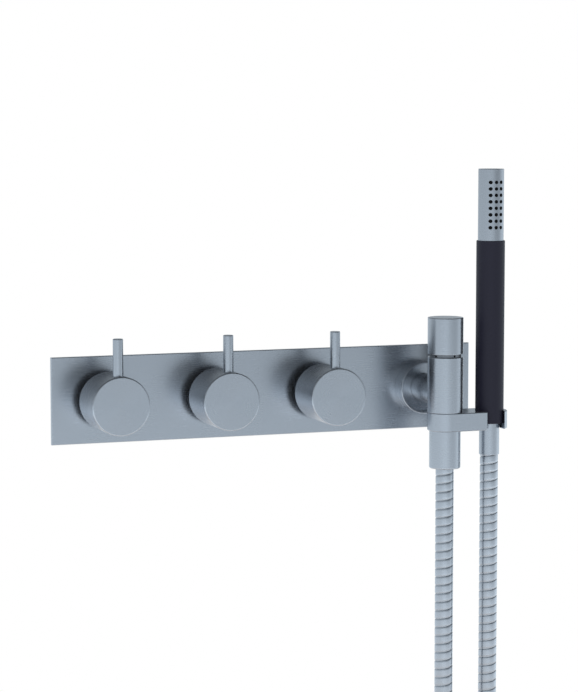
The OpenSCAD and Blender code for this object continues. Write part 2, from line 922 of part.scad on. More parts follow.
// Low-friction washers in the arm's ring, one above and one below
module swivel_washers()
{
  color(black_rubber) on_column() {
    sleeve(swivel_washer_d, spigot_d + 2 * run, seam_z - swivel_washer_t, seam_z);
    sleeve(swivel_washer_d, spigot_d + 2 * run, arm_low_z, arm_low_z + swivel_washer_t);
  }
}

// Rubber washer between the sleeve's web and the hose's tail
module hose_washer()
{
  color(black_rubber) on_column() sleeve(tail_d, washer_bore, tail_top_z, sleeve_web_z);
}

// Threaded tail that is crimped on the hose's fixed end
module hose_tail()
{
  color(steel) on_column() difference() {
    rod(tail_d, tail_low_z, tail_top_z);
    drill(hose_bore, tail_low_z, tail_top_z);
    pocket(hose_d + 2 * fit, tail_top_z - tail_roof, tail_low_z);
  }
}

// Faces of a swept tube: its outside, then its bore if it has one, and the two ends.
// The outside has rings_out rings and the bore rings_in, all with the same sides.
function tube_faces(rings_out, sides, rings_in, bored) =
  let (
    first_in = rings_out * sides,
    last_out = (rings_out - 1) * sides,
    last_in = first_in + (rings_in - 1) * sides
  )
  concat(
    skin(rings_out, sides, 0, false),
    bored ? skin(rings_in, sides, first_in, true) : [],
    bored ? end_ring(0, first_in, sides, true) : [[for (s = [0 : sides - 1]) s]],
    bored ? end_ring(last_out, last_in, sides, false) : [[for (s = [sides - 1 : -1 : 0]) last_out + s]]
  );

// Triangles between neighbouring rings, from point number first on
function skin(rings, sides, first, inwards) = [
  for (k = [0 : rings - 2], s = [0 : sides - 1], half = [0, 1])
    let (
      a = first + k * sides + s,
      b = first + k * sides + (s + 1) % sides,
      c = a + sides,
      d = b + sides,
      tri = half == 0 ? [a, c, b] : [b, c, d]
    )
    inwards ? [tri[0], tri[2], tri[1]] : tri
];

// Triangles between an outer and an inner ring that lie in one plane
function end_ring(outer, inner, sides, at_start) = [
  for (s = [0 : sides - 1], half = [0, 1])
    let (
      a = outer + s,
      b = outer + (s + 1) % sides,
      c = inner + s,
      d = inner + (s + 1) % sides,
      tri = half == 0 ? [a, b, c] : [b, d, c]
    )
    at_start ? tri : [tri[0], tri[2], tri[1]]
];

// A smooth curve through a route's points
function spline(p, i, t) =
  let (
    last = len(p) - 1,
    a = i == 0 ? 2 * p[0] - p[1] : p[i - 1],
    b = p[i],
    c = p[i + 1],
    d = i + 2 > last ? 2 * p[last] - p[last - 1] : p[i + 2]
  )
  b + (c - a) * t / 2 + (2 * a - 5 * b + 4 * c - d) * t * t / 2 + (3 * b - a - 3 * c + d) * t * t * t / 2;
function route_curve(p) = concat(
  [for (i = [0 : len(p) - 2], k = [0 : curve_steps - 1]) spline(p, i, k / curve_steps)],
  [p[len(p) - 1]]
);

// Length along a curve at each of its points
function lengths(c) = [
  for (i = 0, s = 0; i < len(c); s = s + (i + 1 < len(c) ? norm(c[i + 1] - c[i]) : 0), i = i + 1) s
];

// Tables from length to each coordinate, and the place on the curve at a length
function tables(c) =
  let (s = lengths(c))
  [for (axis = [0 : 2]) [for (i = [0 : len(c) - 1]) [s[i], c[i][axis]]]];
function place(t, s) = [lookup(s, t[0]), lookup(s, t[1]), lookup(s, t[2])];

// One ring of points round the curve, square to it
function hose_ring(t, s, r) =
  let (
    probe = rib_depth,
    ahead = place(t, s + probe) - place(t, s - probe),
    u = ahead / norm(ahead),
    side = [0, 1, 0],
    out = cross(side, u)
  )
  [for (k = [0 : hose_sides - 1])
    let (a = 360 * (k + 0.5) / hose_sides) place(t, s) + r * (cos(a) * out + sin(a) * side)];

// Ribbed metal hose between two points of the route: plain ends one diameter long, and a bore right through
module hose_run(first, last)
{
  t = tables(route_curve(ROUTE));
  from = t[0][first * curve_steps][0];
  to = t[0][last * curve_steps][0];
  ribs = floor((to - from - 2 * hose_d) / rib_pitch);
  start = (from + to - ribs * rib_pitch) / 2;
  crest = hose_d / 2;
  outer = concat(
    [hose_ring(t, from, crest)],
    [for (k = [0 : ribs - 1], half = [0, 1])
      hose_ring(t, start + (k + half / 2) * rib_pitch, crest - half * rib_depth)],
    [hose_ring(t, start + ribs * rib_pitch, crest)],
    [hose_ring(t, to, crest)]
  );
  inner_count = ceil((to - from) / bore_step);
  inner = [for (k = [0 : inner_count]) hose_ring(t, from + (to - from) * k / inner_count, hose_bore / 2)];
  points = [for (ring = concat(outer, inner), p = ring) p];
  echo(hose_length = to - from, ribs = ribs, rings = len(outer) + len(inner));
  color(steel) polyhedron(points, tube_faces(len(outer), hose_sides, len(inner), true));
}

// The hose from the column's outlet down to the loop's lowest point
module hose_outlet_run()
{
  hose_run(0, LOW_POINT);
}

// The hose from the loop's lowest point up to the handset's ferrule
module hose_handset_run()
{
  hose_run(LOW_POINT, len(ROUTE) - 1);
}

// Swivelling ferrule on the hose's free end, with a grooved spigot that plugs into the handset
module hose_ferrule()
{
  spigot_top_z = seat_z + ferrule_spigot_l;
  ring_z = seat_z + ferrule_spigot_l / 2;
  color(steel) on_handset() difference() {
    union() {
      turned(ferrule_d, ferrule_low_z, seat_z, grip_bevel, 0);
      rod(ferrule_spigot_d, seat_z, spigot_top_z);
    }
    pocket(hose_d + 2 * fit, ferrule_low_z + ferrule_socket, ferrule_low_z);
    drill(ferrule_bore, ferrule_low_z, spigot_top_z);
    ring_groove(ferrule_spigot_d, ring_z);
  }
}

// A groove for a small rubber ring round a spigot
module ring_groove(d, z)
{
  half = o_ring_small_t / 2 + fit;
  difference() {
    rod(d + cut, z - half, z + half);
    drill(d - 2 * o_ring_small_t, z - half, z + half);
  }
}

// Rubber ring in the ferrule's groove
module ferrule_o_ring()
{
  color(black_rubber) on_handset()
    o_ring(ferrule_spigot_d - 2 * o_ring_small_t, o_ring_small_t, seat_z + ferrule_spigot_l / 2);
}

// Plug in the handset's lower end: a flange under the tube, and a bore for the ferrule's spigot
module handset_connector()
{
  flange_top_z = seat_z + connector_flange_t;
  color(steel) on_handset() difference() {
    union() {
      rod(tube_d, seat_z, flange_top_z);
      rod(plug_d, flange_top_z, connector_top_z);
    }
    pocket(ferrule_spigot_d + 2 * run, connector_top_z - connector_roof, seat_z);
    drill(ferrule_spigot_d - 2 * connector_lip, seat_z, connector_top_z);
    ring_groove(plug_d, flange_top_z + connector_l / 2);
  }
}

// Rubber ring between the connector and the tube
module connector_o_ring()
{
  ring_z = seat_z + connector_flange_t + connector_l / 2;
  color(black_rubber) on_handset() o_ring(plug_d - 2 * o_ring_small_t, o_ring_small_t, ring_z);
}

// Perforated disc on the connector that keeps grit out of the nozzles
module flow_filter()
{
  top_z = connector_top_z + filter_t;
  color(white_plastic) on_handset() difference() {
    rod(plug_d, connector_top_z, top_z);
    drill(filter_hole_d, connector_top_z, top_z);
    for (k = [0 : 5])
      rotate([0, 0, k * 60]) translate([plug_d / 3, 0, 0]) drill(filter_hole_d, connector_top_z, top_z);
  }
}

// Puts its children at each nozzle, facing out of the handset's front
module nozzle_places()
{
  for (row = [0 : nozzle_rows - 1], column = [0 : nozzle_columns - 1])
    translate([
      (column - (nozzle_columns - 1) / 2) * nozzle_column_pitch, 0,
      nozzle_mid_z + (row - (nozzle_rows - 1) / 2) * nozzle_row_pitch,
    ]) rotate([90, 0, 0]) children();
}

// Metal tube from the connector to the cap, drilled for the nozzles near its top
module handset_tube()
{
  color(steel) on_handset() difference() {
    sleeve(tube_d, tube_bore, seat_z + connector_flange_t, handset_top_z - cap_flange_t);
    nozzle_places() cylinder(d = nozzle_d, h = tube_d, $fn = 24);
  }
}

// Soft black sleeve over the lower part of the tube
module handset_grip()
{
  color(grip_black) on_handset() difference() {
    turned(grip_d, seat_z, grip_top_z, grip_bevel, grip_bevel);
    drill(tube_d + 2 * fit, seat_z, grip_top_z);
  }
}

// The space in front of the nozzle insert's back, inside a cylinder
module insert_space(d)
{
  half = (nozzle_rows - 1) / 2 * nozzle_row_pitch + nozzle_margin;
  intersection() {
    rod(d, nozzle_mid_z - half, nozzle_mid_z + half);
    translate([-tube_d / 2, nozzle_back_y - tube_d, nozzle_mid_z - half]) cube([tube_d, tube_d, 2 * half]);
  }
}

// Rubber insert behind the tube's front, with a soft nozzle in each hole
module nozzle_insert()
{
  color(black_rubber) on_handset() difference() {
    union() {
      difference() {
        insert_space(plug_d);
        drill(plug_d - 2 * nozzle_shell_t, grip_top_z, handset_top_z);
      }
      intersection() {
        insert_space(tube_d - 2 * nozzle_recess);
        nozzle_places() translate([0, 0, plug_d / 2 - nozzle_root])
          cylinder(d = nozzle_d - 2 * nozzle_clear, h = tube_d, $fn = 24);
      }
    }
    nozzle_places() cylinder(d = nozzle_bore, h = tube_d, $fn = 16);
  }
}

// Turned cap that closes the handset's top
module head_cap()
{
  flange_z = handset_top_z - cap_flange_t;
  color(steel) on_handset() {
    turned(tube_d, flange_z, handset_top_z, 0, cap_bevel);
    rod(plug_d, flange_z - cap_plug_l, flange_z);
  }
}

cover_plate();
plate_seal();
concealed_body();
mounting_bracket();
bracket_screws();
collar(HOT);  // hot_collar
collar(COLD);  // cold_collar
collar(DIVERTER);  // diverter_collar
bonnet(HOT);  // hot_bonnet
bonnet(COLD);  // cold_bonnet
bonnet(DIVERTER);  // diverter_bonnet
cartridge(HOT);  // hot_cartridge
cartridge(COLD);  // cold_cartridge
cartridge(DIVERTER);  // diverter_cartridge
fixed_disc(HOT);  // hot_fixed_disc
fixed_disc(COLD);  // cold_fixed_disc
fixed_disc(DIVERTER);  // diverter_fixed_disc
spindle_o_rings();
cartridge_seals();
knob(HOT);  // hot_knob
lever(HOT);  // hot_lever
spindle(HOT);  // hot_spindle
turning_disc(HOT);  // hot_turning_disc
knob(COLD);  // cold_knob
lever(COLD);  // cold_lever
spindle(COLD);  // cold_spindle
turning_disc(COLD);  // cold_turning_disc
knob(DIVERTER);  // diverter_knob
lever(DIVERTER);  // diverter_lever
spindle(DIVERTER);  // diverter_spindle
turning_disc(DIVERTER);  // diverter_turning_disc
outlet_rosette();
rosette_o_ring();
neck_tube();
column_body();
air_ring();
column_cap();
vacuum_float();
check_valve_housing();
check_valve_poppet();
check_valve_spring();
outlet_sleeve();
holder_arm();
swivel_washers();
hose_washer();
hose_tail();
hose_outlet_run();
hose_handset_run();
hose_ferrule();
ferrule_o_ring();
handset_connector();
connector_o_ring();
flow_filter();
handset_tube();
handset_grip();
nozzle_insert();
head_cap();
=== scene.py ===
import bmesh
import bpy
import numpy as np
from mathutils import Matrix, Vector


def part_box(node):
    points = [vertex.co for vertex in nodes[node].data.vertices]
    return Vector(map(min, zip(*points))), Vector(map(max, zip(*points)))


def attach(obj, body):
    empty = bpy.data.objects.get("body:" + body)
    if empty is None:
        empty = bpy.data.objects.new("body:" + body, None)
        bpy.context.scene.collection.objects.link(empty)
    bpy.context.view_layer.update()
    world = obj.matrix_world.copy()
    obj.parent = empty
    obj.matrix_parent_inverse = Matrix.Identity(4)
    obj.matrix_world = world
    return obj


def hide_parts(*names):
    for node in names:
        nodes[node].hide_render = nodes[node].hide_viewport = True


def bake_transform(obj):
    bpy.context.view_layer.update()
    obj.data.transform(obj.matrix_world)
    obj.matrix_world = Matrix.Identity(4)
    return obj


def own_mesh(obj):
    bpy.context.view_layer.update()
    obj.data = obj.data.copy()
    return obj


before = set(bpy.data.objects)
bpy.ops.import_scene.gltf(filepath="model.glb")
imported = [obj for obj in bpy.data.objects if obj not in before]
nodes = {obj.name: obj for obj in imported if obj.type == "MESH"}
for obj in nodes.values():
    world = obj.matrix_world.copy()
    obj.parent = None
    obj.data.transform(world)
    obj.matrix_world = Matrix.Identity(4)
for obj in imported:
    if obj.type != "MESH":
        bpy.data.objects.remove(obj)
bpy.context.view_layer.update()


# Concealed body. A sand-cast brass body sits in the wall: its skin is dull and grainy, and only the
# valve mouths and the threaded ports' mouths are machined bright after casting.
def add(tree, kind, inputs=(), **settings):
    """A node with its settings, and its inputs set to numbers or joined to other nodes' outputs."""
    node = tree.nodes.new(kind)
    for key, value in settings.items():
        setattr(node, key, value)
    for key, value in dict(inputs).items():
        if isinstance(value, bpy.types.NodeSocket):
            tree.links.new(value, node.inputs[key])
        else:
            node.inputs[key].default_value = value
    return node


def new_finish(name, metallic, specular=0.5, attribute=None):
    """
    An empty finish: its node tree, its shader, and the place on the piece that patterns read, which
    is the object's own or a named attribute of its mesh.
    """
    material = bpy.data.materials.new(name)
    material.use_nodes = True
    tree = material.node_tree
    shader = tree.nodes["Principled BSDF"]
    shader.inputs["Metallic"].default_value = metallic
    shader.inputs["Specular IOR Level"].default_value = specular
    if attribute:
        place = add(tree, "ShaderNodeAttribute", attribute_name=attribute).outputs["Vector"]
    else:
        place = add(tree, "ShaderNodeTexCoord").outputs["Object"]
    return material, tree, shader, place


def noise(tree, vector, scale, detail=2.0):
    """Smooth noise from 0 to 1, scale being its grains per metre."""
    inputs = {"Vector": vector, "Scale": scale, "Detail": detail}
    return add(tree, "ShaderNodeTexNoise", inputs).outputs["Fac"]


def spread(tree, value, low, high):
    """The middle of a noise's range stretched over low to high."""
    inputs = {"Value": value, "From Min": 0.3, "From Max": 0.7, "To Min": low, "To Max": high}
    return add(tree, "ShaderNodeMapRange", inputs).outputs["Result"]


def calculate(tree, operation, first, second):
    """Two numbers or outputs put together by one operation."""
    inputs = {0: first, 1: second}
    return add(tree, "ShaderNodeMath", inputs, operation=operation).outputs[0]


def mix_colours(tree, factor, first, second):
    """First colour where the factor is 0, second where it is 1."""
    mix = add(tree, "ShaderNodeMix", {"Factor": factor}, data_type="RGBA")
    for socket, colour in zip((mix.inputs[6], mix.inputs[7]), (first, second)):
        if isinstance(colour, bpy.types.NodeSocket):
            tree.links.new(colour, socket)
        else:
            socket.default_value = (*colour, 1.0)
    return mix.outputs[2]


def dent(tree, shader, height, depth, strength=1.0):
    """Bumps the surface by height, whose full range is depth metres."""
    inputs = {"Height": height, "Distance": depth, "Strength": strength}
    bump = add(tree, "ShaderNodeBump", inputs)
    tree.links.new(bump.outputs["Normal"], shader.inputs["Normal"])


def paint(finish, *names):
    """Gives CAD nodes a finish in place of their plain one."""
    for name in names:
        nodes[name].data.materials.clear()
        nodes[name].data.materials.append(finish)


def cast_brass():
    """Dull cast skin, with the machined mouths found by their planes: y of the front, z of the ports."""
    cast_colour = (0.46, 0.33, 0.15)
    stain_colour = (0.30, 0.20, 0.09)
    cut_colour = (0.72, 0.53, 0.24)
    skin_depth = 0.0004
    face_reach = 0.0002
    material, tree, shader, place = new_finish("cast_brass", 1.0)
    low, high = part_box("concealed_body")
    split = add(tree, "ShaderNodeSeparateXYZ", {"Vector": place})
    front = {0: split.outputs["Y"], 1: low.y, 2: face_reach}
    mouth = {0: split.outputs["Z"], 1: low.z, 2: face_reach}
    at_front = add(tree, "ShaderNodeMath", front, operation="COMPARE").outputs[0]
    at_mouth = add(tree, "ShaderNodeMath", mouth, operation="COMPARE").outputs[0]
    cut = calculate(tree, "MAXIMUM", at_front, at_mouth)
    stain = mix_colours(tree, noise(tree, place, 90.0, 4.0), cast_colour, stain_colour)
    tree.links.new(mix_colours(tree, cut, stain, cut_colour), shader.inputs["Base Color"])
    sand = noise(tree, place, 1400.0, 3.0)
    dull = spread(tree, sand, 0.48, 0.66)
    gloss = add(tree, "ShaderNodeMix", {"Factor": cut, "A": dull, "B": 0.22})
    tree.links.new(gloss.outputs[0], shader.inputs["Roughness"])
    dent(tree, shader, sand, skin_depth, calculate(tree, "SUBTRACT", 1.0, cut))
    return material


paint(cast_brass(), "concealed_body")


# Bonnets, cartridges and spindles. Free-cutting brass, turned on an automatic lathe, so fine rings
# run round every face of them.
def turned_grain(centre, axis):
    """
    Noise coordinates that follow a lathe's cut round an axis: the direction from the axis as a point
    on a small circle, so that a grain is long round the piece, and as the fourth coordinate the
    distance out plus the distance along, which runs fast.
    """
    round_grains, cross_grains = 3.0, 9000.0
    along_axis = [1.0 if letter == axis else 0.0 for letter in "XYZ"]
    across_axis = [1.0 - share for share in along_axis]

    def grain(tree, place):
        def vector(operation, first, second=(0.0, 0.0, 0.0)):
            inputs = {0: first, 1: second}
            return add(tree, "ShaderNodeVectorMath", inputs, operation=operation)

        arm = vector("SUBTRACT", place, centre).outputs[0]
        out = vector("MULTIPLY", arm, across_axis).outputs[0]
        radius = vector("LENGTH", out).outputs["Value"]
        along = vector("DOT_PRODUCT", arm, along_axis).outputs["Value"]
        direction = vector("NORMALIZE", out).outputs[0]
        circle = vector("MULTIPLY", direction, (round_grains,) * 3).outputs[0]
        depth = calculate(tree, "MULTIPLY", calculate(tree, "ADD", radius, along), cross_grains)
        return circle, depth

    return grain


def straight_grain(axis):
    """Noise coordinates for strokes along one axis: slow along it and fast across it."""
    stroke_grains, cross_grains = 60.0, 9000.0
    scale = [stroke_grains if letter == axis else cross_grains for letter in "XYZ"]

    def grain(tree, place):
        strokes = add(tree, "ShaderNodeMapping", {"Vector": place, "Scale": scale})
        return strokes.outputs["Vector"], 0.0

    return grain


def metal(name, colour, roughness, grain, depth=0.000001, attribute=None, turned_about=None):
    """
    Metal with fine grain: the noise at the grain's coordinates varies the tint and the gloss by a
    little, and scratches the surface by about a micron. A broader noise smudges the gloss. Rings
    turned about an axis draw the reflections out across them.
    """
    material, tree, shader, place = new_finish(name, 1.0, attribute=attribute)
    if turned_about:
        rings = add(tree, "ShaderNodeTangent", direction_type="RADIAL", axis=turned_about)
        tree.links.new(rings.outputs["Tangent"], shader.inputs["Tangent"])
        shader.inputs["Anisotropic"].default_value = 0.6
        shader.inputs["Anisotropic Rotation"].default_value = 0.25
    vector, w = grain(tree, place)
    inputs = {"Vector": vector, "W": w, "Scale": 1.0, "Detail": 2.0}
    scratch = add(tree, "ShaderNodeTexNoise", inputs, noise_dimensions="4D").outputs["Fac"]
    dark = [0.985 * share for share in colour]
    light = [min(1.0, 1.015 * share) for share in colour]
    tree.links.new(mix_colours(tree, scratch, dark, light), shader.inputs["Base Color"])
    rough = spread(tree, scratch, roughness - 0.015, roughness + 0.015)
    smudge = spread(tree, noise(tree, place, 45.0, 3.0), -0.012, 0.015)
    tree.links.new(calculate(tree, "ADD", rough, smudge), shader.inputs["Roughness"])
    dent(tree, shader, scratch, depth)
    return material


def middle(name):
    """Centre of a CAD node's box, which is a point on its axis for a turned piece."""
    low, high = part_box(name)
    return (low + high) / 2


valves = ("hot", "cold", "diverter")
brass_colour = (0.70, 0.50, 0.22)
brass_roughness = 0.24
for valve in valves:
    bonnet_grain = turned_grain(middle(f"{valve}_bonnet"), "Y")
    turned_brass = metal(f"{valve}_brass", brass_colour, brass_roughness, bonnet_grain)
    paint(turned_brass, f"{valve}_bonnet", f"{valve}_cartridge", f"{valve}_spindle")


# Discs of the valves. Dense off-white ceramic, fired and then lapped flat, so that they seal on each
# other and have a faint cloudy shine.
def lapped_ceramic():
    """Off-white with faint clouds, a little glossier on the paler ones."""
    material, tree, shader, place = new_finish("lapped_ceramic", 0.0, 0.6)
    cloud = noise(tree, place, 700.0, 3.0)
    colour = mix_colours(tree, cloud, (0.84, 0.82, 0.77), (0.90, 0.89, 0.85))
    tree.links.new(colour, shader.inputs["Base Color"])
    tree.links.new(spread(tree, cloud, 0.24, 0.14), shader.inputs["Roughness"])
    dent(tree, shader, cloud, 0.000002)
    return material


disc_ceramic = lapped_ceramic()
for valve in valves:
    paint(disc_ceramic, f"{valve}_fixed_disc", f"{valve}_turning_disc")


# Seals, rings and washers. Black nitrile rubber, moulded, with the matt skin that its mould leaves
# and a little dust in the dimples.
def rubber(name, colour, roughness, skin_grains, skin_depth, specular=0.4):
    """A skin of small dimples, which are a little paler and duller than the rubber round them."""
    material, tree, shader, place = new_finish(name, 0.0, specular)
    skin = noise(tree, place, skin_grains, 3.0)
    dusty = [1.4 * share + 0.003 for share in colour]
    tree.links.new(mix_colours(tree, skin, colour, dusty), shader.inputs["Base Color"])
    rough = spread(tree, skin, roughness - 0.05, roughness + 0.05)
    tree.links.new(rough, shader.inputs["Roughness"])
    dent(tree, shader, skin, skin_depth)
    return material


seal_rubber = rubber("seal_rubber", (0.012, 0.012, 0.013), 0.55, 2600.0, 0.00003)
paint(
    seal_rubber, "plate_seal", "spindle_o_rings", "cartridge_seals", "rosette_o_ring",
    "swivel_washers", "hose_washer", "ferrule_o_ring", "connector_o_ring",
)


# Mounting bracket and its screws. Steel sheet with a hot zinc coat, whose crystals show as paler and
# darker patches; the screws are zinc plated in a drum and a little brighter.
def zinc_coat():
    """One shade and one gloss for each zinc crystal, under a fine frost."""
    material, tree, shader, place = new_finish("zinc_coat", 1.0)
    inputs = {"Vector": place, "Scale": 190.0}
    crystal = add(tree, "ShaderNodeTexVoronoi", inputs).outputs["Color"]
    shade = add(tree, "ShaderNodeSeparateColor", {"Color": crystal}).outputs["Red"]
    colour = mix_colours(tree, shade, (0.44, 0.46, 0.48), (0.58, 0.59, 0.60))
    tree.links.new(colour, shader.inputs["Base Color"])
    tree.links.new(spread(tree, shade, 0.34, 0.44), shader.inputs["Roughness"])
    dent(tree, shader, noise(tree, place, 1500.0), 0.00002)
    return material


paint(zinc_coat(), "mounting_bracket")
zinc_colour = (0.58, 0.59, 0.60)
zinc_roughness = 0.3
plated_steel = metal("plated_steel", zinc_colour, zinc_roughness, straight_grain("X"))
paint(plated_steel, "bracket_screws", "check_valve_spring")


# Cover plate. Three millimetres of stainless steel, brushed lengthways by a belt, its front edges
# just broken. Its grain runs from end to end.
steel_colour = (0.447, 0.475, 0.515)
steel_roughness = 0.26
paint(metal("plate_steel", steel_colour, steel_roughness, straight_grain("X")), "cover_plate")


# Collars. Short steel rings screwed on the bonnets against the plate, turned all over, with their
# front edges rounded.
def rounded(corners, sizes, steps=5):
    """
    A profile with its inner corners rounded. An arc's ends lie size / tan(half) from its corner and
    its centre size / sin(half) from it, half being half the angle between the corner's sides. A
    point a little way along each side keeps the flats beside it flat.
    """
    corners = np.array(corners, float)
    points = [corners[:1]]
    for before, corner, after, size in zip(corners, corners[1:], corners[2:], sizes):
        to_before = (before - corner) / np.linalg.norm(before - corner)
        to_after = (after - corner) / np.linalg.norm(after - corner)
        half = np.arccos(np.clip(to_before @ to_after, -1, 1)) / 2
        reach = size / np.tan(half)
        centre = corner + (to_before + to_after) / (2 * np.cos(half)) * size / np.sin(half)
        start = corner + to_before * reach - centre
        end = corner + to_after * reach - centre
        turn = np.pi - 2 * half
        t = np.linspace(0, 1, steps + 1)[:, None]
        arc = (np.sin((1 - t) * turn) * start + np.sin(t * turn) * end) / np.sin(turn)
        side = 1.3 * reach
        points += [[corner + to_before * side], centre + arc, [corner + to_after * side]]
    points.append(corners[-1:])
    return np.concatenate(points)


def grid_faces(rows, columns, first=0):
    """The quads between neighbours in a grid of points, numbered row by row from first on."""
    row, column = np.meshgrid(np.arange(rows - 1), np.arange(columns - 1), indexing="ij")
    corner = first + (row * columns + column).ravel()
    return np.stack([corner, corner + 1, corner + columns + 1, corner + columns], axis=1)


def smooth_but_for_edges(mesh):
    """Smooth shading, with the edges that are sharper than an arc's steps left sharp."""
    mesh.shade_smooth()
    mesh.set_sharp_from_angle(angle=np.radians(35))


def closed_mesh(name, points, faces, lay=None):
    """
    A closed mesh from points and quads: coincident points become one, so seams and poles close, and
    the faces are turned outwards. lay is each point's place before bending, kept as an attribute.
    """
    weld = 1e-7
    mesh = bpy.data.meshes.new(name)
    mesh.from_pydata(points.reshape(-1, 3).tolist(), [], faces.tolist())
    if lay is not None:
        attribute = mesh.attributes.new("lay", "FLOAT_VECTOR", "POINT")
        attribute.data.foreach_set("vector", lay.ravel())
    shape = bmesh.new()
    shape.from_mesh(mesh)
    bmesh.ops.remove_doubles(shape, verts=shape.verts, dist=weld)
    bmesh.ops.recalc_face_normals(shape, faces=shape.faces)
    shape.to_mesh(mesh)
    shape.free()
    smooth_but_for_edges(mesh)
    return mesh


def object_of(mesh, finish=None):
    """An object at the origin with a mesh and its finish, in the scene."""
    if finish:
        mesh.materials.append(finish)
    piece = bpy.data.objects.new(mesh.name, mesh)
    bpy.context.scene.collection.objects.link(piece)
    return piece


def turned(name, corners, sizes, centre, axis, sides=128):
    """
    A turned piece's mesh: the profile of (along, out) pairs through the corners, with its inner
    corners rounded by the sizes, is carried round the axis, so that a point is centre + along * axis
    + out * (cos a * u + sin a * v) for the angle a from 0 to a full turn.
    """
    profile = rounded(corners, sizes)
    angle = np.linspace(0, 2 * np.pi, sides + 1)
    along, out = profile[:, :1], profile[:, 1:]
    points = np.empty((len(profile), sides + 1, 3))
    u, v, w = {"Y": (0, 2, 1), "Z": (0, 1, 2)}[axis]
    points[..., u] = centre[u] + out * np.cos(angle)
    points[..., v] = centre[v] + out * np.sin(angle)
    points[..., w] = along
    return closed_mesh(name, points, grid_faces(*points.shape[:2]))


def stands_for(piece, body, *replaced):
    """A piece that rides on a body and takes CAD nodes' place."""
    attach(piece, body)
    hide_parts(*replaced)


fit = 0.00005
fine_edge = 0.00015
collar_round = 0.0006
valve_steel = {}
for valve in valves:
    low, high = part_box(f"{valve}_collar")
    centre = (low + high) / 2
    outer = (high.z - low.z) / 2
    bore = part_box(f"{valve}_bonnet")[1].z + fit
    valve_steel[valve] = metal(
        f"{valve}_steel", steel_colour, steel_roughness, turned_grain(centre, "Y"), turned_about="Y"
    )
    corners = [
        (centre.y, bore), (low.y, bore), (low.y, outer), (high.y, outer), (high.y, bore),
        (centre.y, bore),
    ]
    sizes = [fine_edge, collar_round, fine_edge, fine_edge]
    collar = object_of(
        turned(f"{valve}_turned_collar", corners, sizes, centre, "Y"), valve_steel[valve]
    )
    stands_for(collar, "root", f"{valve}_collar")


# Knobs. Solid stainless steel, turned, with a fine round on the front edge; each is relieved at the
# back, bored for its spindle and drilled from above for its lever.
def cut_away(piece, cutter, finish):
    """Takes a closed cutter's space out of a piece, once and for all, and gives it its finish."""
    cut = piece.modifiers.new("cut", "BOOLEAN")
    cut.operation = "DIFFERENCE"
    cut.solver = "EXACT"
    cut.object = cutter
    bpy.context.view_layer.update()
    seen = piece.evaluated_get(bpy.context.evaluated_depsgraph_get())
    made = bpy.data.meshes.new_from_object(seen)
    made.name = piece.name
    piece.modifiers.clear()
    piece.data = made
    bpy.data.objects.remove(cutter)
    smooth_but_for_edges(made)
    made.materials.clear()
    made.materials.append(finish)


knob_round = 0.0007
knob_rear_round = 0.00035
knob_rim = 0.003
knob_relief = 0.003
knob_wall = 0.004
spindle_radius = 0.004
lever_seat = 0.003
stud_radius = 0.0025
deburr = 0.0002
knob_sides = 160
drill_edge = 0.00001
drill_sides = 64
for valve in valves:
    low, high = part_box(f"{valve}_knob")
    lever_low, lever_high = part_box(f"{valve}_lever")
    centre = (low + high) / 2
    radius = (high.z - low.z) / 2
    bore = spindle_radius + fit
    bore_floor = low.y + knob_wall
    relief_y = high.y - knob_relief
    inner = radius - knob_rim
    corners = [
        (bore_floor, 0), (bore_floor, bore), (relief_y, bore), (relief_y, inner), (high.y, inner),
        (high.y, radius), (low.y, radius), (low.y, 0),
    ]
    sizes = [fine_edge, fine_edge, fine_edge, fine_edge, knob_rear_round, knob_round]
    knob = object_of(turned(f"{valve}_turned_knob", corners, sizes, centre, "Y", knob_sides))
    hole = (lever_high.x - lever_low.x) / 2 + fit
    stud_hole = stud_radius + fit
    seat_z = radius - lever_seat
    flare_z = radius - 2 * deburr
    above = radius + 2 * deburr
    corners = [
        (0, 0), (0, stud_hole), (seat_z, stud_hole), (seat_z, hole), (flare_z, hole),
        (above, hole + 2 * deburr), (above, 0),
    ]
    drill_centre = (lever_low + lever_high) / 2
    drill = object_of(turned("drill", corners, [drill_edge] * 5, drill_centre, "Z", drill_sides))
    cut_away(knob, drill, valve_steel[valve])
    stands_for(knob, f"{valve}_handle", f"{valve}_knob")


# Levers. Steel pins with a flat top whose edge is rounded; a thinner stud below each is screwed
# through the knob on its spindle.
lever_round = 0.0005
lever_sides = 64
for valve in valves:
    low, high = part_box(f"{valve}_lever")
    centre = (low + high) / 2
    radius = (high.x - low.x) / 2
    seat_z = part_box(f"{valve}_knob")[1].z - lever_seat
    corners = [
        (low.z, 0), (low.z, stud_radius), (seat_z, stud_radius), (seat_z, radius), (high.z, radius),
        (high.z, 0),
    ]
    sizes = [fine_edge, fine_edge, fine_edge, lever_round]
    lever = object_of(
        turned(f"{valve}_turned_lever", corners, sizes, centre, "Z", lever_sides),
        metal(f"{valve}_lever_steel", steel_colour, steel_roughness, turned_grain(centre, "Z")),
    )
    stands_for(lever, f"{valve}_handle", f"{valve}_lever")


